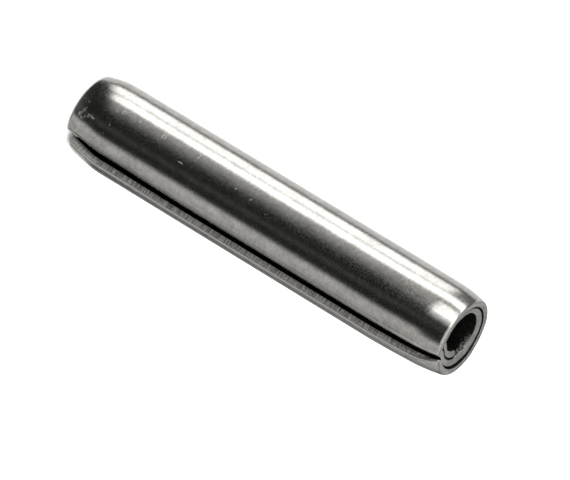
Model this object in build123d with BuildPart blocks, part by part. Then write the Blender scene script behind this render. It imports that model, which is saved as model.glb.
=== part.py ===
from build123d import *
import os
from math import cos, radians, sin, sqrt, tan

# Coiled spring roll pin, inch size 3/16 x 1, standard duty.
# One strip of spring steel is rolled into 2.2 turns and both ends are swaged to a
# smooth taper.  Millimetres.  Z runs along the pin, the origin is the middle of the
# lower end, and X, Y pass through the axis of the outermost wrap.

# ---- driving dimensions -------------------------------------------------------
length = 25.4  # over both ends
outside_dia = 5.09  # outermost wrap, free state
strip = 0.43  # strip thickness
coil_gap = 0.12  # mean slack between the outermost and the second wrap, mid-length
end_gap = 0.045  # slack between wraps where the ends are swaged
inner_gap = 0.04  # slack between the second wrap and the inner tail
coil_offset = 0.075  # inner wraps sit this far off the outer wrap, away from the seam

seam_angle = -26.0  # where the outer edge of the strip lies, from +X
dive = (303.5, 337.0, 0.60)  # the outer wrap bends in under the seam: from, to, radius
top_pinch = (18.0, 0.4)  # swaging, per mm drawn in, delays that bend and tightens it
bottom_pinch = (30.0, 0.5)  # the same at the lower end
inner_dive = (294.0, 337.0, 0.55)  # the second wrap turns in to the tail: from, to, radius
inner_pinch = (12.0, 0.1)  # the same for the inner bend
seam_lip = 20.0  # the outer edge's own stretch of the wrap ends here
edge_lean = 1.8  # the sheared edge isn't quite square: its outer corner lies back
tail_angle = 47.0  # the inner edge of the strip, in its third wrap
edge_round = 0.045  # rolled corners of the sheared outer edge

top_lead = 5.3  # length of the swaged lead at the upper end ...
nose = 1.72  # ... and of its steeper nose
bottom_lead = 2.5  # length of the swaged lead at the lower end
bottom_twist = 7.0  # the seam swings back this far over the lower lead ...
early_twist = 2.8  # ... and this far already above it, over this stretch
early_twist_from, early_twist_to = 8.5, 2.5
top_twist, top_twist_length = 3.9, 1.5  # and this far at the upper end
edge_advance = 16.0  # how far swaging drags the outer corner round at the upper end
edge_advance_length = 2.4

dish_angle = 17.0  # the strip's ends follow the taper, so the end faces are dished
rim_land = 0.12  # flat ring left outside the dish
rim_round = 0.08  # rolled outer corner of both ends
skew = 0.27  # the outer corner of the strip stops this far short of the lower end
skew_span = 75.0  # the strip's end runs back to the end face over this arc

outer_r = outside_dia / 2


# ---- small plane geometry -----------------------------------------------------
def ray(angle):
    """Unit vector at an angle in degrees from +X."""
    return Vector(cos(radians(angle)), sin(radians(angle)))


def bearing(v):
    """Angle of a vector in degrees, in (-180, 180]."""
    return Vector(1, 0).get_signed_angle(v, Vector(0, 0, 1))


away = ray(seam_angle) * -1  # from the seam straight across the pin


def dive_arcs(c1, r1, c2, r2, start, end, bend):
    """Two arcs that carry one wrap into the next one in, without a kink.

    The first, of radius bend, leaves circle (c1, r1) at start, the second joins circle
    (c2, r2) at end, and they meet tangentially.  Returns (centre, radius) of both and
    the bearing at which they meet.  A negative radius is a bend the other way: where
    the step in is steep, the strip is bent down over the first arc and back again.
    """
    u1, u2 = ray(start), ray(end)
    ca = c1 + u1 * (r1 - bend)
    m = ca - c2 - u2 * r2
    rb = (bend * bend - m.dot(m)) / (2 * (m.dot(u2) + bend))
    cb = c2 - u2 * (rb - r2)
    meet = bearing(ca - cb if rb > 0 else cb - ca) % 360
    return (ca, bend), (cb, rb), meet if meet > start else meet + 360


def arc(centre, radius, start, end):
    """Arc whose outward normal runs from start to end."""
    CenterArc(centre, abs(radius), start if radius > 0 else start + 180, end - start)


def swage(x, top):
    """How far a station x from an end is drawn in, and how far its wrap has centred.

    Swaging first takes up the slack on the seam side, so the outer wrap moves over
    the inner ones as it shrinks, and never swells past the straight barrel.
    """
    lead = top_lead if top else bottom_lead
    if x >= lead:
        return 0.0, 0.0
    if top:
        drawn = 0.134 * (1 - x / lead) ** 2 + 0.166 * max(0.0, 1 - x / nose) ** 2
    else:
        drawn = 0.333 * (1 - x / lead) ** 2.25
    return drawn, drawn / (1 + (drawn / coil_offset) ** 4) ** 0.25


def lower_swing(z):
    """How far the whole section is turned at height z above the lower end, in degrees."""
    t = (early_twist_from - z) / (early_twist_from - early_twist_to)
    t = min(1.0, max(0.0, t))
    lead = max(0.0, 1 - z / bottom_lead)
    return -early_twist * t * t * (3 - 2 * t) - bottom_twist * lead**1.25


def coil_section(z):
    """The rolled strip's cross-section at height z, drawn on its own plane.

    It is one closed outline: the outer face of the strip from its outer edge round to
    the tail, the tail's full round, the inner face back again and the sheared edge.
    Every face of a wrap is an arc, and both faces of the strip share their centres.
    """
    top = z > length / 2
    x = length - z if top else z
    drawn, centred = swage(x, top)
    c1, r1 = away * centred, outer_r - drawn
    closing = min(1.0, drawn / 0.30)
    slack = coil_gap + (end_gap - coil_gap) * closing
    c2, r2 = away * coil_offset, r1 - strip - slack
    r3 = r2 - strip - inner_gap
    advance = edge_advance * max(0.0, 1 - x / edge_advance_length) ** 2 if top else 0.0

    pinch = top_pinch if top else bottom_pinch
    bend_from, bend_r = dive[0] + pinch[0] * drawn, dive[2] - pinch[1] * drawn
    (ca, ra), (cb, rb), meet = dive_arcs(c1, r1, c2, r2, bend_from, dive[1], bend_r)
    inner_from = inner_dive[0] + inner_pinch[0] * drawn
    inner_bend = inner_dive[2] - inner_pinch[1] * drawn
    (cc, rc), (cd, rd), meet2 = dive_arcs(
        c2, r2, c2, r3, inner_from, inner_dive[1], inner_bend
    )

    # sheared edge: a line from the inner to the outer corner, both corners rolled
    inner_corner = c1 + ray(seam_angle) * (r1 - strip)
    outer_corner = c1 + ray(seam_angle + edge_lean - advance) * r1
    along = (outer_corner - inner_corner).normalized()
    into = Vector(-along.Y, along.X)
    if into.dot(ray(seam_angle + 90)) < 0:
        into = into * -1

    def rolled(radius):
        start = inner_corner + into * edge_round - c1
        b = start.dot(along)
        c = start.dot(start) - radius * radius
        root = -b + sqrt(b * b - c)
        return c1 + start + along * root, inner_corner + along * root

    oc, o_foot = rolled(r1 - edge_round)
    ic, i_foot = rolled(r1 - strip + edge_round)
    o_ang, i_ang = bearing(oc - c1), bearing(ic - c1)
    o_tan, i_tan = c1 + ray(o_ang) * r1, c1 + ray(i_ang) * (r1 - strip)

    twist = lower_swing(x)
    if top:
        twist = -top_twist * max(0.0, 1 - x / top_twist_length) ** 1.25
    with BuildSketch(Plane((0, 0, z), x_dir=ray(twist))) as section:
        with BuildLine():
            for r_in in (0.0, strip):
                start = o_ang if r_in == 0.0 else i_ang
                arc(c1, r1 - r_in, start, seam_lip)
                arc(c1, r1 - r_in, seam_lip, bend_from)
                arc(ca, ra - r_in, bend_from, meet)
                arc(cb, rb - r_in, meet, dive[1])
                arc(c2, r2 - r_in, dive[1], 360 + inner_from)
                arc(cc, rc - r_in, inner_from, meet2)
                arc(cd, rd - r_in, meet2, inner_dive[1])
                arc(c2, r3 - r_in, inner_dive[1], 360 + tail_angle)
            CenterArc(
                c2 + ray(tail_angle) * (r3 - strip / 2), strip / 2, tail_angle, 180
            )
            ThreePointArc(
                o_tan, oc + (ray(o_ang) - into).normalized() * edge_round, o_foot
            )
            Line(o_foot, i_foot)
            ThreePointArc(
                i_foot, ic - (ray(i_ang) + into).normalized() * edge_round, i_tan
            )
        make_face()
    return section


top_stations = [top_lead * i / 9 for i in range(9, -1, -1)]
bottom_stations = [bottom_lead * i / 6 for i in range(6, -1, -1)]
twist_stations = [8.5, 7.6, 6.5, 5.5, 4.5, 3.5, 3.0]

# the lower end of the strip isn't square: this wedge is missing beside the seam
bottom_r = outer_r - swage(0.0, False)[0]
coil_axis = Axis(away * coil_offset, (0, 0, 1))
fall = skew / ((bottom_r - strip / 2) * sin(radians(skew_span)))
lower_seam = seam_angle + lower_swing(0.0)
with BuildPart() as skew_wedge:
    with BuildSketch(
        Plane(
            coil_axis.position,
            x_dir=ray(lower_seam - 1.5),
            z_dir=ray(lower_seam - 91.5),
        )
    ):
        with BuildLine():
            Polyline(
                (bottom_r - strip - 0.03, -0.05),
                (bottom_r - strip + 0.08, 0.32),
                (outside_dia, 0.32),
                (outside_dia, -0.05),
                close=True,
            )
        make_face()
    revolve(axis=coil_axis, revolution_arc=skew_span + 15)
    split(
        bisect_by=Plane(
            coil_axis.position + Vector(0, 0, skew),
            x_dir=ray(lower_seam),
            z_dir=ray(lower_seam + 90) * fall + Vector(0, 0, 1),
        ),
        keep=Keep.BOTTOM,
    )

with BuildPart() as coiled_pin:
    # straight barrel, the length that grips the hole
    extrude(
        coil_section(early_twist_from).sketch,
        amount=length - top_lead - early_twist_from,
    )
    # swaged upper end
    loft([coil_section(length - x).sketch.face() for x in top_stations])
    # lower part of the barrel, where the seam starts to swing, and the swaged lower end
    loft([coil_section(x).sketch.face() for x in twist_stations + bottom_stations])
    add(skew_wedge.part, mode=Mode.SUBTRACT)
    # each end: a flat ring at the rim, its outer corner rolled, the rest dished
    for top in (True, False):
        corner_r = outer_r - swage(0.0, top)[0] - 0.55 * rim_round
        land_r = corner_r - rim_land
        outward = 1 if top else -1
        with BuildSketch(
            Plane(
                coil_axis.position + Vector(0, 0, length if top else 0.0),
                x_dir=(1, 0, 0),
                z_dir=(0, -outward, 0),
            )
        ):
            with BuildLine():
                Polyline(
                    (0, 0.2),
                    (land_r + 0.2 / tan(radians(dish_angle)), 0.2),
                    (0, -land_r * tan(radians(dish_angle))),
                    close=True,
                )
            make_face()
            with BuildLine():
                CenterArc((corner_r, -rim_round), rim_round, 90, -90)
                Polyline(
                    (corner_r + rim_round, -rim_round),
                    (outside_dia, -rim_round),
                    (outside_dia, 0.2),
                    (corner_r, 0.2),
                    (corner_r, 0),
                )
            make_face()
        revolve(axis=coil_axis, mode=Mode.SUBTRACT)

coiled_pin.part.label = "coiled_pin"
os.makedirs("parts", exist_ok=True)
export_step(coiled_pin.part, "parts/coiled_pin.step")
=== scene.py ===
"""Looks of the coiled spring roll pin: one rolled strip of steel, modelled as a detailed mesh on the CAD frame."""

import math

import bpy
import numpy as np
from mathutils import Matrix, Vector


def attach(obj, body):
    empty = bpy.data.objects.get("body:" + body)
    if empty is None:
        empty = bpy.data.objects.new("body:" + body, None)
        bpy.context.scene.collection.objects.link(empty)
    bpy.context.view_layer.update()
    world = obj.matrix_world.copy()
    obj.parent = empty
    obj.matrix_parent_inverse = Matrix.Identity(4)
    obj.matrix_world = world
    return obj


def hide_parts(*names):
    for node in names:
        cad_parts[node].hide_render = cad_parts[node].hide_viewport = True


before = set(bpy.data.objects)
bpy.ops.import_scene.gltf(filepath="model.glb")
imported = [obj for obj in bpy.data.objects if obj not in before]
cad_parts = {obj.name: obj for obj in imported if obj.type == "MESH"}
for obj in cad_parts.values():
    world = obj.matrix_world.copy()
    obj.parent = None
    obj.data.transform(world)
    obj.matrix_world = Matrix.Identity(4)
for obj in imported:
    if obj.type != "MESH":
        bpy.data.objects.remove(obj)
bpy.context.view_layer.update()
MM = 0.001

# ---------------------------------------------------------------------------------
# The strip, in millimetres.  The same construction as the CAD part: every wrap is an
# arc, two tangent arcs carry one wrap into the next, both faces share their centres.
# Plane vectors are complex numbers here: x + iy.
# ---------------------------------------------------------------------------------
LENGTH, OUTSIDE_DIA, STRIP = 25.4, 5.09, 0.43
COIL_GAP, END_GAP, INNER_GAP, COIL_OFFSET = 0.12, 0.045, 0.04, 0.075
SEAM, TAIL = -26.0, 47.0
DIVE, INNER_DIVE = (303.5, 337.0, 0.60), (294.0, 337.0, 0.55)  # from, to, bend radius
TOP_PINCH, BOTTOM_PINCH, INNER_PINCH = (18.0, 0.4), (30.0, 0.5), (12.0, 0.1)  # swaging delays and tightens the bends
TOP_LEAD, NOSE, BOTTOM_LEAD = 5.3, 1.72, 2.5
BOTTOM_TWIST, EARLY_TWIST, TOP_TWIST = 7.0, 2.8, 3.9  # the seam swings this far at the ends
EDGE_LEAN = 1.8  # the sheared edge's outer corner lies back
EDGE_ADVANCE, EDGE_ADVANCE_LENGTH = 16.0, 2.4
DISH = math.radians(17.0)
SKEW, SKEW_SPAN = 0.27, 75.0
PROUD = 0.09  # the outer wrap stands this much proud beside the seam at the upper end
RIM_ROLL = 0.14  # the outer rim of both ends is rolled over this width
THETA_END = TAIL + 720.0
RHO_OUT, RHO_IN, RHO_END = 0.12, 0.035, 0.05  # rolled corners of the strip
ROLLOVER = 1.5  # the outer corner's roll reaches this much further along the strip, nearly flat


def ray(deg):
    return np.exp(1j * np.radians(deg))


def dot(a, b):
    return (a * np.conj(b)).real


def smooth(a, b, x):
    t = np.clip((x - a) / (b - a), 0, 1)
    return t * t * (3 - 2 * t)


AWAY = -ray(SEAM)


def swage(x, top):
    if top:
        t = np.clip(1 - x / TOP_LEAD, 0, 1)
        n = np.clip(1 - x / NOSE, 0, 1)
        drawn = 0.134 * t**2 + 0.166 * n**2
    else:
        t = np.clip(1 - x / BOTTOM_LEAD, 0, 1)
        drawn = 0.333 * t**2.25
    return drawn, drawn / (1 + (drawn / COIL_OFFSET) ** 4) ** 0.25


def wraps(z):
    """Arc centres and radii of the outer face of the strip at heights z."""
    top, bottom = swage(LENGTH - z, True), swage(z, False)
    drawn, centred = top[0] + bottom[0], top[1] + bottom[1]
    c1, r1 = AWAY * centred, OUTSIDE_DIA / 2 - drawn
    slack = COIL_GAP + (END_GAP - COIL_GAP) * np.minimum(1, drawn / 0.30)
    c2, r2 = AWAY * COIL_OFFSET + 0 * c1, r1 - STRIP - slack
    r3 = r2 - STRIP - INNER_GAP

    def dive(c, r, cb0, rb0, start, end, ra):
        u1, u2 = ray(start), ray(end)
        ca = c + u1 * (r - ra)
        m = ca - cb0 - u2 * rb0
        rb = (ra * ra - dot(m, m)) / (2 * (dot(m, u2) + ra))
        cb = cb0 - u2 * (rb - rb0)
        meet = np.degrees(np.angle((ca - cb) * np.sign(rb))) % 360
        meet = np.where(meet < start, meet + 360, meet)
        return ca, ra + 0 * rb, cb, rb, meet, start, end

    delay, tighten = (np.where(z > LENGTH / 2, t, b) for t, b in zip(TOP_PINCH, BOTTOM_PINCH))
    a = dive(c1, r1, c2, r2, DIVE[0] + delay * drawn, DIVE[1], DIVE[2] - tighten * drawn)
    b = dive(
        c2, r2, c2, r3, INNER_DIVE[0] + INNER_PINCH[0] * drawn, INNER_DIVE[1], INNER_DIVE[2] - INNER_PINCH[1] * drawn
    )
    return c1, r1, c2, r2, r3, a, b


def strip_point(theta, z, depth):
    """Point of the strip at bearing theta along it, depth below its outer face.

    Along the wraps theta is also where the normal points.  Over a dive the normal runs
    on past it over the first arc and comes back over the second.
    """
    c1, r1, c2, r2, r3, a, b = wraps(z)
    full = np.broadcast_arrays(theta, z, depth)[0]
    zero = np.zeros_like(full, dtype=complex)
    c, r, normal = c1 + zero, r1 + zero.real, theta + zero.real
    for turn, d, after in ((0, a, (c2, r2)), (360, b, (c2, r3))):
        meet, start, end = d[4] + turn, d[5] + turn, d[6] + turn
        half = (end - start) / 2
        t1, t2 = (theta - start) / half, (theta - start) / half - 1
        for lo, cc, rr, nn in (
            (start, d[0], d[1], start + (meet - start) * t1),
            (start + half, d[2], d[3], meet + (end - meet) * t2),
            (end, after[0], after[1], theta),
        ):
            past = theta >= lo
            c = np.where(past, cc + zero, c)
            r = np.where(past, rr + zero.real, r)
            normal = np.where(past, nn + zero.real, normal)
    twist = -BOTTOM_TWIST * np.clip(1 - z / BOTTOM_LEAD, 0, 1) ** 1.25 - EARLY_TWIST * smooth(8.5, 2.5, z)
    twist = twist - TOP_TWIST * np.clip(1 - (LENGTH - z) / 1.5, 0, 1) ** 1.25
    return (c + (r - depth) * ray(normal)) * ray(twist)


# ---- lattice: i along the strip, j through it, k along the pin ---------------------
R_MID = OUTSIDE_DIA / 2 - STRIP / 2
edge_steps = np.array([0, 0.009, 0.02, 0.035, 0.07, 0.11, 0.14, 0.16, 0.18, 0.22, 0.29])
theta_i = np.concatenate(
    [
        SEAM + np.degrees(edge_steps / R_MID),
        np.arange(SEAM + 9.0, 300.0, 2.0),
        np.arange(300.0, 345.0, 1.0),
        np.arange(345.0, 654.0, 4.0),
        np.arange(654.0, 700.0, 1.6),
        np.arange(700.0, THETA_END - 15.0, 3.0),
    ]
)
tail_steps = np.array([0.30, 0.215, 0.18, 0.14, 0.09, 0.04, 0.0])
tail_r = 1.0
theta_i = np.concatenate([theta_i, THETA_END - np.degrees(tail_steps / tail_r)])
u_i = np.radians(theta_i - SEAM) * R_MID  # distance from the sheared edge
t_i = np.radians(THETA_END - theta_i) * tail_r  # distance from the tail
w_j = np.array(
    [0, 0.004, 0.012, 0.022, 0.035, 0.08, 0.13, 0.19, 0.25, 0.28, 0.31, 0.326, 0.342, 0.364, 0.39, 0.41, 0.422]
    + [STRIP]
)
phi = np.radians([0, 22.5, 45, 67.5, 90])
h_round = RHO_END * (1 - np.sin(phi))[::-1]  # height below the end, from the end down
inset_round = RHO_END * (1 - np.cos(phi))[::-1]
low = np.concatenate([h_round, [0.07, 0.10, 0.14]])
inner = np.concatenate(
    [np.arange(0.2, 3.2, 0.15), np.arange(3.35, LENGTH - 6.0, 0.42)]
)
upper = np.arange(LENGTH - 6.0, LENGTH - 0.18, 0.16)
z_k = np.concatenate([low, inner, upper, LENGTH - low[::-1]])
inset_k = np.concatenate(
    [inset_round, np.zeros(len(z_k) - 2 * len(phi)), inset_round[::-1]]
)
NI, NJ, NK = len(theta_i), len(w_j), len(z_k)


def rounded(i, j, inset):
    """Where lattice point (i, j) lies in the strip's own section, corners rolled."""
    u, t, w = u_i[i], t_i[i], w_j[j]
    at_seam = i < NI // 2
    outer = at_seam & (w > STRIP / 2)
    rho = np.where(at_seam, np.where(outer, RHO_OUT, RHO_IN), STRIP / 2)
    along = np.where(at_seam, u, t)
    stretch = np.where(outer, ROLLOVER, 1.0)
    along = along / stretch
    q_a = np.maximum(along, rho)
    q_w = np.where(at_seam, np.clip(w, RHO_IN, STRIP - RHO_OUT), STRIP / 2)
    d_a, d_w = along - q_a, w - q_w
    power = np.where(outer, 1.35, 2.0)
    size = (np.abs(d_a) ** power + np.abs(d_w) ** power) ** (1 / power)
    ring = np.maximum(np.abs(d_a), np.abs(d_w)) / rho
    scale = np.where(size > 1e-9, (rho - inset) * ring / np.maximum(size, 1e-9), 0)
    a, w2 = (q_a + d_a * scale) * stretch, q_w + d_w * scale
    shift = np.where(at_seam, a - u, -(a - t))  # towards larger theta
    radius = np.where(at_seam, R_MID, tail_r)
    return theta_i[i] + np.degrees(shift / radius), w2


rng = np.random.default_rng(7)
wave = rng.uniform(0, 2 * np.pi, (6,))


def place(i, j, k):
    """Lattice point (i, j, k) in the pin's frame, millimetres."""
    theta, w = rounded(i, j, inset_k[k])
    z0 = z_k[k]
    # the two ends of the strip: dished, out of square beside the seam
    depth = STRIP - w
    turn = theta - SEAM

    def dished(z_end):
        p = strip_point(theta, np.full_like(theta, z_end), depth)
        r = np.abs(p - AWAY * COIL_OFFSET)
        rim = OUTSIDE_DIA / 2 - (0.30 if z_end > 1 else 0.333)
        x = np.maximum(0, rim - RIM_ROLL - 0.03 - r)
        y = np.clip((r - (rim - RIM_ROLL)) / RIM_ROLL, 0, 0.97)
        return math.tan(DISH) * x * x / (x + 0.06) + RIM_ROLL * (1 - np.sqrt(1 - y * y))

    fall = SKEW * (1 - np.sin(np.radians(np.clip(turn, 0, 90))) / math.sin(math.radians(SKEW_SPAN)))
    fall = np.log1p(np.exp(np.clip(fall / 0.02, -30, 30))) * 0.02
    fall = np.where(turn < 200, fall, 0)
    rise = PROUD * (1 - smooth(60, 150, turn)) * smooth(-40, 25, turn)
    lip = 0.012 * np.sin(np.radians(theta) * 2 + wave[0]) + 0.008 * np.sin(
        np.radians(theta) * 5 + wave[1]
    )
    up = -dished(LENGTH) + rise - np.abs(lip)
    down = dished(0.0) + fall + np.abs(lip) * smooth(20, 60, turn)
    z = z0 + up * smooth(LENGTH - 2.6, LENGTH, z0) + down * smooth(2.6, 0.0, z0)
    # swaging drags the outer corner of the sheared edge round at the upper end
    advance = EDGE_ADVANCE * np.clip(1 - (LENGTH - z) / EDGE_ADVANCE_LENGTH, 0, 1) ** 2
    lean = (EDGE_LEAN - advance) * (w / STRIP) * (1 - smooth(0.0, 1.3, np.radians(turn) * R_MID))
    p = strip_point(theta + lean, z, depth)
    return np.stack([p.real, p.imag, z], -1), theta, w


index = {}
verts, thetas, depths = [], [], []


def grid(ii, jj, kk):
    """Indices of a rectangular patch of the lattice's skin, made once per point."""
    keys = np.stack(np.broadcast_arrays(ii, jj, kk), -1).reshape(-1, 3)
    new = [tuple(q) for q in keys.tolist() if tuple(q) not in index]
    new = list(dict.fromkeys(new))
    if new:
        a = np.array(new)
        p, th, w = place(a[:, 0], a[:, 1], a[:, 2])
        for n, q in enumerate(new):
            index[q] = len(verts) + n
        verts.extend(p.tolist())
        thetas.extend(th.tolist())
        depths.extend((STRIP - w).tolist())
    shape = np.broadcast_shapes(np.shape(ii), np.shape(jj), np.shape(kk))
    return np.array([index[tuple(q)] for q in keys.tolist()]).reshape(shape)


faces, face_uv, face_slot = [], [], []


def patch(g, uv, slot, flip=False):
    """Quads of a 2-D index grid; uv has the same shape with two more numbers."""
    a, b, c, d = g[:-1, :-1], g[1:, :-1], g[1:, 1:], g[:-1, 1:]
    ua, ub, uc, ud = uv[:-1, :-1], uv[1:, :-1], uv[1:, 1:], uv[:-1, 1:]
    q = np.stack([a, b, c, d], -1).reshape(-1, 4)
    t = np.stack([ua, ub, uc, ud], -2).reshape(-1, 4, 2)
    if flip:
        q, t = q[:, ::-1], t[:, ::-1]
    faces.append(q)
    face_uv.append(t)
    face_slot.append(np.full(len(q), slot))


def spread(values, lo, hi):
    v = np.asarray(values, float)
    return lo + (hi - lo) * (v - v.min()) / (v.max() - v.min())


I, J, K = np.arange(NI), np.arange(NJ), np.arange(NK)
SPLIT = int(np.searchsorted(theta_i, 345.0))
BORE = int(np.searchsorted(theta_i, 400.0))


def uvgrid(u, v):
    return np.stack(np.broadcast_arrays(u[:, None], v[None, :]), -1)


V_ALL = spread(z_k, 0.006, 0.994)
SKIN, CUT, BOREWALL, END = 0, 1, 2, 3
# outer face of the strip: the wrap that shows, then the wraps inside
patch(grid(I[: SPLIT + 1, None], NJ - 1, K[None, :]), uvgrid(spread(theta_i[: SPLIT + 1], 0.006, 0.604), V_ALL), SKIN)
patch(grid(I[SPLIT:, None], NJ - 1, K[None, :]), uvgrid(spread(theta_i[SPLIT:], 0.614, 0.69), V_ALL), BOREWALL)
# inner face of the strip
patch(grid(I[: BORE + 1, None], 0, K[None, :]), uvgrid(spread(theta_i[: BORE + 1], 0.70, 0.76), V_ALL), BOREWALL, True)
patch(grid(I[BORE:, None], 0, K[None, :]), uvgrid(spread(theta_i[BORE:], 0.77, 0.87), V_ALL), BOREWALL, True)
# sheared edge and tail
patch(grid(0, J[:, None], K[None, :]), uvgrid(spread(w_j, 0.88, 0.905), V_ALL), CUT)
patch(grid(NI - 1, J[:, None], K[None, :]), uvgrid(spread(w_j, 0.915, 0.93), V_ALL), BOREWALL, True)
# both ends of the strip
V_STRIP = spread(theta_i, 0.006, 0.994)
patch(np.swapaxes(grid(I[:, None], J[None, :], NK - 1), 0, 1), uvgrid(spread(w_j, 0.94, 0.963), V_STRIP), END)
patch(np.swapaxes(grid(I[:, None], J[None, :], 0), 0, 1), uvgrid(spread(w_j, 0.972, 0.995), V_STRIP), END, True)

V = np.array(verts) * MM
F = np.concatenate(faces)
UV = np.concatenate(face_uv)
SLOTS = np.concatenate(face_slot)

mesh = bpy.data.meshes.new("coiled_pin_strip")
mesh.vertices.add(len(V))
mesh.vertices.foreach_set("co", V.astype(np.float32).ravel())
mesh.loops.add(F.size)
mesh.loops.foreach_set("vertex_index", F.astype(np.int32).ravel())
mesh.polygons.add(len(F))
mesh.polygons.foreach_set("loop_start", np.arange(0, F.size, 4, dtype=np.int32))
mesh.polygons.foreach_set("material_index", SLOTS.astype(np.int32))
mesh.polygons.foreach_set("use_smooth", np.ones(len(F), bool))
mesh.update(calc_edges=True)
uv_layer = mesh.uv_layers.new(name="OFBake")
uv_layer.data.foreach_set("uv", UV.astype(np.float32).ravel())
TH, DP = np.array(thetas), np.array(depths)
# strip coordinates for the finish: millimetres along the strip, through it and along the pin
strip_uvw = mesh.attributes.new("strip_mm", "FLOAT_VECTOR", "POINT")
strip_uvw.data.foreach_set(
    "vector",
    np.stack([np.radians(TH - SEAM) * 2.33, DP, V[:, 2] / MM], -1).astype(np.float32).ravel(),
)
mesh.validate()
mesh.update()

pin = bpy.data.objects.new("coiled_pin_strip", mesh)
bpy.context.scene.collection.objects.link(pin)


# ---------------------------------------------------------------------------------
# Materials
# ---------------------------------------------------------------------------------
class Nodes:
    """Small helper to write a node tree as expressions."""

    def __init__(self, tree):
        self.t = tree

    def add(self, kind, inputs=None, **props):
        n = self.t.nodes.new(kind)
        for k, v in props.items():
            setattr(n, k, v)
        for k, v in (inputs or {}).items():
            socket = n.inputs[k]
            if isinstance(v, bpy.types.NodeSocket):
                self.t.links.new(v, socket)
            else:
                socket.default_value = v
        return n

    def math(self, op, a, b=None, c=None, clamp=False):
        n = self.t.nodes.new("ShaderNodeMath")
        n.operation, n.use_clamp = op, clamp
        for i, v in enumerate((a, b, c)):
            if v is None:
                continue
            if isinstance(v, bpy.types.NodeSocket):
                self.t.links.new(v, n.inputs[i])
            else:
                n.inputs[i].default_value = v
        return n.outputs[0]

    def ramp(self, value, lo, hi, out_lo=0.0, out_hi=1.0, smooth=True):
        n = self.add(
            "ShaderNodeMapRange",
            {"Value": value, "From Min": lo, "From Max": hi, "To Min": out_lo, "To Max": out_hi},
            interpolation_type="SMOOTHSTEP" if smooth else "LINEAR",
        )
        return n.outputs["Result"]

    def noise(self, vector, scale, detail=2.0, rough=0.5, distort=0.0):
        n = self.add(
            "ShaderNodeTexNoise",
            {"Vector": vector, "Scale": scale, "Detail": detail, "Roughness": rough, "Distortion": distort},
        )
        return n.outputs["Fac"]

    def scaled(self, vector, x, y, z):
        n = self.add("ShaderNodeVectorMath", {0: vector, 1: (x, y, z)}, operation="MULTIPLY")
        return n.outputs["Vector"]

    def mix(self, fac, a, b):
        n = self.add("ShaderNodeMix", {"Factor": fac}, data_type="RGBA")
        for socket, v in ((n.inputs[6], a), (n.inputs[7], b)):
            if isinstance(v, bpy.types.NodeSocket):
                self.t.links.new(v, socket)
            else:
                socket.default_value = v
        return n.outputs[2]


def material(name):
    m = bpy.data.materials.new(name)
    m.use_nodes = True
    m.node_tree.nodes.clear()
    n = Nodes(m.node_tree)
    out = n.add("ShaderNodeOutputMaterial")
    bsdf = n.add("ShaderNodeBsdfPrincipled")
    m.node_tree.links.new(bsdf.outputs["BSDF"], out.inputs["Surface"])
    return m, n, bsdf


# scuffs on the wrap that shows: along the strip, along the pin (mm), half lengths, strength
MARKS = [
    (12.74, 0.52, 0.13, 0.08, 1.0),
    (12.52, 0.62, 0.20, 0.06, 1.0),
    (12.34, 0.72, 0.12, 0.08, 1.0),
    (12.80, 0.74, 0.06, 0.15, 0.9),
    (12.66, 0.92, 0.08, 0.10, 0.8),
    (12.50, 1.12, 0.11, 0.08, 1.0),
    (12.42, 1.38, 0.07, 0.16, 0.9),
    (11.88, 0.36, 0.06, 0.10, 0.45),
    (11.90, 0.66, 0.05, 0.12, 0.5),
    (12.15, 2.54, 0.055, 0.055, 0.7),
    (11.28, 2.41, 0.20, 0.16, 0.25),
    (11.22, 2.80, 0.14, 0.14, 0.35),
    (11.17, 3.88, 0.08, 0.07, 0.8),
    (11.10, 5.66, 0.26, 0.035, 0.9),
    (11.20, 5.50, 0.20, 0.028, 0.7),
    (11.83, 7.26, 0.045, 0.16, 0.8),
    (11.05, 7.95, 0.16, 0.04, 0.5),
    (11.50, 10.81, 0.06, 0.05, 0.5),
    (11.57, 11.87, 0.05, 0.08, 0.5),
    (11.82, 13.08, 0.06, 0.05, 0.4),
]


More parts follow.
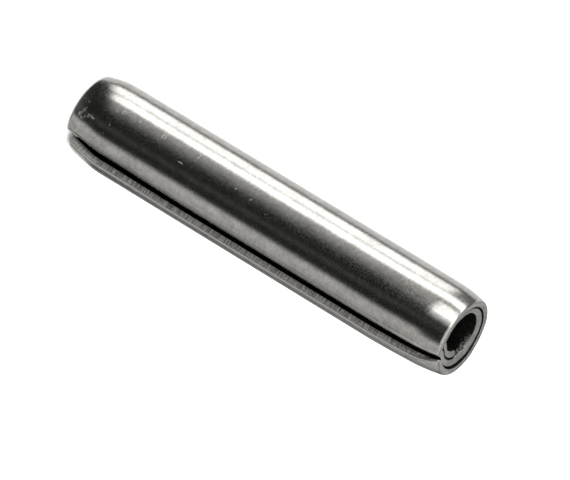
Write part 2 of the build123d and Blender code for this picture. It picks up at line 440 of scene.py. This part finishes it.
def steel_skin():
    """Tumbled spring steel: bright, finely peened, fine streaks along the strip."""
    m, n, bsdf = material("tumbled_steel")
    link = m.node_tree.links.new
    strip = n.add("ShaderNodeAttribute", attribute_name="strip_mm").outputs["Vector"]
    pos = n.add("ShaderNodeTexCoord").outputs["Object"]
    mm = n.scaled(pos, 1000, 1000, 1000)
    fine = n.noise(mm, 11.0, 3.0, 0.65)
    peen = n.noise(mm, 4.5, 2.0, 0.55)
    broad = n.noise(mm, 0.8, 2.0, 0.5)
    streak = n.noise(n.scaled(strip, 1.6, 0.0, 8.5), 1.0, 2.0, 0.6)
    height = n.math("ADD", n.math("MULTIPLY", fine, 0.34), n.math("MULTIPLY", peen, 0.20))
    height = n.math("ADD", height, n.math("MULTIPLY", streak, 0.40))
    bump = n.add("ShaderNodeBump", {"Height": height, "Strength": 1.0, "Distance": 0.0000035})
    link(bump.outputs["Normal"], bsdf.inputs["Normal"])
    # mottled tone
    cloud = n.noise(mm, 2.2, 2.0, 0.5)
    mottle = n.math("ADD", n.math("MULTIPLY", fine, 0.22), n.math("MULTIPLY", peen, 0.33))
    mottle = n.math("ADD", mottle, n.math("MULTIPLY", streak, 0.17))
    mottle = n.math("ADD", mottle, n.math("MULTIPLY", cloud, 0.28))
    tone = n.math("ADD", n.ramp(mottle, 0.36, 0.64, 0.0, 0.8, False), n.ramp(broad, 0.3, 0.7, 0.0, 0.2))
    color = n.mix(tone, (0.44, 0.434, 0.414, 1), (0.79, 0.781, 0.745, 1))
    # scuffs: rough spots that catch the lights from aside, broken up by noise
    xyz = n.add("ShaderNodeSeparateXYZ", {0: strip})
    grit = n.ramp(n.noise(mm, 9.0, 2.0, 0.6), 0.36, 0.58)
    scuff = 0.0
    for u, z, du, dz, strength in MARKS:
        a = n.math("MULTIPLY", n.math("SUBTRACT", xyz.outputs["X"], u), 1 / du)
        b = n.math("MULTIPLY", n.math("SUBTRACT", xyz.outputs["Z"], z), 1 / dz)
        d = n.math("ADD", n.math("MULTIPLY", a, a), n.math("MULTIPLY", b, b))
        scuff = n.math("MAXIMUM", scuff, n.ramp(d, 0.3, 1.6, strength, 0.0))
    specks = n.ramp(n.noise(mm, 6.0, 1.0, 0.4), 0.77, 0.83, 0.0, 0.5)
    scuff = n.math("MAXIMUM", n.math("MULTIPLY", scuff, n.math("ADD", n.math("MULTIPLY", grit, 0.7), 0.3)), specks)
    link(n.mix(scuff, color, (0.80, 0.79, 0.765, 1)), bsdf.inputs["Base Color"])
    bsdf.inputs["Metallic"].default_value = 1.0
    rough = n.ramp(fine, 0.3, 0.7, 0.13, 0.20)
    link(n.math("ADD", rough, n.math("MULTIPLY", scuff, 0.42)), bsdf.inputs["Roughness"])
    return m


def steel_cut():
    """The sheared edge: striped straight across by the shear, its outer corner burnished, with a painted highlight
    along that corner and painted light towards the lower end.
    """
    m, n, bsdf = material("sheared_steel")
    link = m.node_tree.links.new
    strip = n.add("ShaderNodeAttribute", attribute_name="strip_mm").outputs["Vector"]
    xyz = n.add("ShaderNodeSeparateXYZ", {0: strip})
    coarse = n.noise(n.scaled(strip, 1.0, 1.0, 3.0), 1.0, 2.0, 0.5)
    stripes = n.noise(n.scaled(strip, 1.0, 1.6, 12.0), 1.0, 2.0, 0.6)
    grain = n.noise(n.scaled(strip, 14.0, 14.0, 14.0), 1.0, 2.0, 0.6)
    mixed = n.math("ADD", n.math("MULTIPLY", stripes, 0.62), n.math("MULTIPLY", grain, 0.2))
    mixed = n.math("ADD", mixed, n.math("MULTIPLY", coarse, 0.18))
    bump = n.add("ShaderNodeBump", {"Height": mixed, "Strength": 1.0, "Distance": 0.000014})
    link(bump.outputs["Normal"], bsdf.inputs["Normal"])
    color = n.mix(n.ramp(mixed, 0.40, 0.60, 0, 1, False), (0.30, 0.295, 0.283, 1), (0.82, 0.81, 0.775, 1))
    # painted light: the sheared face is given a lighter colour towards the lower end of the pin
    color = n.mix(n.ramp(xyz.outputs["Z"], 2.6, 0.6, 0.0, 0.55), color, (0.93, 0.92, 0.885, 1))
    # burnished next to the outer corner (smoother), and a painted highlight: the corner's roll gets a lighter colour
    burnish_and_highlight = n.ramp(xyz.outputs["Y"], 0.16, 0.07)
    color = n.mix(n.math("MULTIPLY", burnish_and_highlight, 0.8), color, (0.80, 0.79, 0.76, 1))
    link(color, bsdf.inputs["Base Color"])
    bsdf.inputs["Metallic"].default_value = 1.0
    rough = n.ramp(grain, 0.3, 0.7, 0.36, 0.44)
    link(n.math("SUBTRACT", rough, n.math("MULTIPLY", burnish_and_highlight, 0.12)), bsdf.inputs["Roughness"])
    return m


def steel_end():
    """The ends of the strip: tumbled after cutting, dull and speckled."""
    m, n, bsdf = material("end_steel")
    link = m.node_tree.links.new
    pos = n.add("ShaderNodeTexCoord").outputs["Object"]
    mm = n.scaled(pos, 1000, 1000, 1000)
    fine = n.noise(mm, 12.0, 3.0, 0.65)
    patch_ = n.noise(mm, 3.0, 2.0, 0.5)
    bump = n.add("ShaderNodeBump", {"Height": fine, "Strength": 1.0, "Distance": 0.000008})
    link(bump.outputs["Normal"], bsdf.inputs["Normal"])
    tone = n.math("ADD", n.ramp(fine, 0.33, 0.67, 0.0, 0.6, False), n.ramp(patch_, 0.3, 0.7, 0.0, 0.4, False))
    link(n.mix(tone, (0.30, 0.295, 0.283, 1), (0.63, 0.62, 0.596, 1)), bsdf.inputs["Base Color"])
    bsdf.inputs["Metallic"].default_value = 1.0
    link(n.ramp(fine, 0.3, 0.7, 0.40, 0.50), bsdf.inputs["Roughness"])
    return m


def steel_inside():
    """Inside of the coil: painted shade, a near-black colour for the shade deep in the coil; one spot of the mouths
    keeps a plain steel colour.
    """
    m, n, bsdf = material("inner_steel_painted_shade")
    link = m.node_tree.links.new
    pos = n.add("ShaderNodeTexCoord").outputs["Object"]
    mm = n.scaled(pos, 1000, 1000, 1000)
    xyz = n.add("ShaderNodeSeparateXYZ", {0: mm})
    streak = n.noise(n.scaled(mm, 5.0, 5.0, 0.8), 1.0, 3.0, 0.6)
    grit = n.noise(mm, 7.0, 2.0, 0.6)
    bump = n.add("ShaderNodeBump", {"Height": streak, "Strength": 1.0, "Distance": 0.000006})
    link(bump.outputs["Normal"], bsdf.inputs["Normal"])
    # painted shade: near-black colour standing in for the shade inside the coil
    color = n.mix(n.ramp(streak, 0.35, 0.65), (0.003, 0.003, 0.003, 1), (0.007, 0.007, 0.0065, 1))
    off = n.math("ABSOLUTE", n.math("SUBTRACT", xyz.outputs["Z"], LENGTH / 2))
    off = n.math("ADD", off, n.math("MULTIPLY", n.math("SUBTRACT", grit, 0.5), 1.2))
    mouth = n.ramp(off, LENGTH / 2 - 0.55, LENGTH / 2 + 0.2)
    x, y = xyz.outputs["X"], xyz.outputs["Y"]
    radius = n.math("SQRT", n.math("ADD", n.math("MULTIPLY", x, x), n.math("MULTIPLY", y, y)))
    mouth = n.math("MULTIPLY", mouth, n.ramp(radius, 1.55, 1.65, 1.0, 0.0))
    mouth = n.math("MULTIPLY", mouth, n.ramp(x, -0.6, 0.1))
    mouth = n.math("MULTIPLY", mouth, n.ramp(y, 0.7, 1.1))
    # one spot of the mouths keeps a plain steel colour; everywhere else the painted shade stays
    link(n.mix(mouth, color, (0.5, 0.495, 0.475, 1)), bsdf.inputs["Base Color"])
    link(mouth, bsdf.inputs["Metallic"])
    bsdf.inputs["Roughness"].default_value = 0.48
    bsdf.inputs["Specular IOR Level"].default_value = 0.05
    return m


for m in (steel_skin(), steel_cut(), steel_inside(), steel_end()):
    mesh.materials.append(m)
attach(pin, "root")
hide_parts("coiled_pin")

# ---------------------------------------------------------------------------------
# Camera: 23 degrees above the pin's horizon, rolled so the pin lies across the frame
# ---------------------------------------------------------------------------------
ELEVATION, AXIS_TILT = 23.3, 31.33
DISTANCE, FOCAL_PX = 0.3534, 6600.0
MID_PX = (273.7, 224.7)  # where the middle of the pin falls in the 570 x 480 frame
e, a = math.radians(ELEVATION), math.radians(AXIS_TILT)
back = Vector((0, -math.cos(e), math.sin(e)))
up0, right0 = Vector((0, math.sin(e), math.cos(e))), Vector((1, 0, 0))
right = math.cos(a) * up0 - math.sin(a) * right0
up = -math.sin(a) * up0 - math.cos(a) * right0
cam_data = bpy.data.cameras.new("camera")
cam_data.sensor_width = 36.0
cam_data.lens = FOCAL_PX / 570 * 36.0
cam_data.clip_start, cam_data.clip_end = 0.01, 20.0
cam = bpy.data.objects.new("camera", cam_data)
bpy.context.scene.collection.objects.link(cam)
px = DISTANCE / FOCAL_PX
target = Vector((0, 0, LENGTH / 2 * MM)) + right * (285 - MID_PX[0]) * px - up * (240 - MID_PX[1]) * px
cam.matrix_world = Matrix(
    (
        (right.x, up.x, back.x, 0),
        (right.y, up.y, back.y, 0),
        (right.z, up.z, back.z, 0),
        (0, 0, 0, 1),
    )
)
cam.location = target + back * DISTANCE
bpy.context.scene.camera = cam

# ---------------------------------------------------------------------------------
# Floor and light
# ---------------------------------------------------------------------------------
bpy.ops.mesh.primitive_circle_add(vertices=128, radius=3.0, fill_type="NGON", location=(0, 0, 0))
floor = bpy.context.object
floor.name = "floor"
m, n, bsdf = material("floor_white")
bsdf.inputs["Base Color"].default_value = (0.93, 0.93, 0.93, 1)
bsdf.inputs["Roughness"].default_value = 1.0
bsdf.inputs["Specular IOR Level"].default_value = 0.0
floor.data.materials.append(m)
floor.visible_glossy = False

world = bpy.data.worlds.new("studio")
bpy.context.scene.world = world
world.use_nodes = True
world.node_tree.nodes.clear()
n = Nodes(world.node_tree)
direction = n.add("ShaderNodeTexCoord").outputs["Generated"]
xyz = n.add("ShaderNodeSeparateXYZ", {0: direction})
azimuth = n.math("ARCTAN2", xyz.outputs["X"], n.math("MULTIPLY", xyz.outputs["Y"], -1.0))
height = n.math("ARCSINE", xyz.outputs["Z"])
D = math.radians


def card(az, half, soft, lo=-90, hi=90, soft_el=8, level=1.0, soft_right=None):
    """A soft-edged panel: centre azimuth, half width and edge softness, degrees."""
    off = n.math("WRAP", n.math("SUBTRACT", azimuth, D(az)), math.pi, -math.pi)
    if soft_right is None:
        across = n.ramp(n.math("ABSOLUTE", off), D(half - soft), D(half + soft), level, 0.0)
    else:
        across = n.math(
            "MULTIPLY",
            n.ramp(off, D(-half - soft), D(-half + soft), 0.0, level),
            n.ramp(off, D(half - soft_right), D(half + soft_right), 1.0, 0.0),
        )
    rise = n.ramp(height, D(lo - soft_el), D(lo + soft_el)) if lo > -90 else 1.0
    fall = n.ramp(height, D(hi - soft_el), D(hi + soft_el), 1.0, 0.0) if hi < 90 else 1.0
    return n.math("MULTIPLY", across, n.math("MULTIPLY", rise, fall))


# panels as seen from the pin; azimuth 0 is the camera's side, +90 is +X
CARDS = [
    # azimuth, half width, edge, low, high, edge, level
    (-98, 13, 6, -34.5, -15, 5, 1.7, 5),  # tall light, left half
    (-100, 17, 4, -12, 40, 4, 0.13),  # dim wall above it
    (-71, 9.7, 5, -32, 35, 5, 1.7, 4),  # tall light, right half, which reaches higher
    (-35, 14, 3, -13, 60, 2.5, 1.5),  # raised light
    (-20, 10, 10, -13, 60, 2.5, 0.85),  # its soft right side
    (-62, 22.5, 22.5, -32, 60, 8, 0.47),  # spill of the tall light
    (9, 6, 6, -60, 20, 8, 0.035),
    (58, 21, 6, -65, -12, 4, 0.42),  # fill, lower part
    (67, 19, 6, -12, 20, 4, 0.45),  # fill, upper part
    (49, 8, 6, -60, 5, 8, 0.10),  # brighter strip of the fill
    (100, 20, 5, -65, 20, 10, 0.27, 25),  # its right side fades
    (108, 28, 8, -65, -35, 4, 0.20),  # and its foot
    (25, 75, 12, 16, 90, 6, 0.45),  # glow above, seen in the rolled rim
    (135, 26, 8, 34, 64, 6, 0.4),  # and behind, right
    (118, 24, 8, -21, 30, 4, 0.33),  # low panel, right
    (166, 24, 8, -60, -29, 2.5, 0.6),  # floor glow behind, right
    (168, 24, 8, -60, 20, 10, 0.13),  # backdrop, right
    (-155, 31.5, 8, -60, 30, 8, 0.70),  # backdrop, left
    (-155, 31.5, 8, 30, 60, 8, 0.22),  # dimmer towards its top
    (164, 16, 8, 8, 32, 6, 0.50),  # high panel behind, right
    (-180, 28, 14, -60, -8, 6, 0.25),  # and brighter further round
    (-116, 9, 4, -60, -14, 3, 0.11),  # dim gap beside it
]
total = 0.018
for c in CARDS:
    total = n.math("ADD", total, card(*c))
ceiling = n.ramp(height, D(30), D(60), 0.0, 0.40)
ground = n.ramp(height, D(-75), D(-45), 0.22, 0.0)
total = n.math("ADD", total, n.math("ADD", ceiling, ground))
studio = n.add("ShaderNodeBackground", {"Color": (1.0, 0.995, 0.985, 1), "Strength": total})
plain = n.add("ShaderNodeBackground", {"Color": (1, 1, 1, 1), "Strength": 2.6})
glossy = n.add("ShaderNodeLightPath").outputs["Is Glossy Ray"]
mixed = n.add("ShaderNodeMixShader", {0: glossy, 1: plain.outputs[0], 2: studio.outputs[0]})
n.add("ShaderNodeOutputWorld", {"Surface": mixed.outputs[0]})
world.cycles.sampling_method = "NONE"

bpy.context.scene.view_settings.view_transform = "Standard"
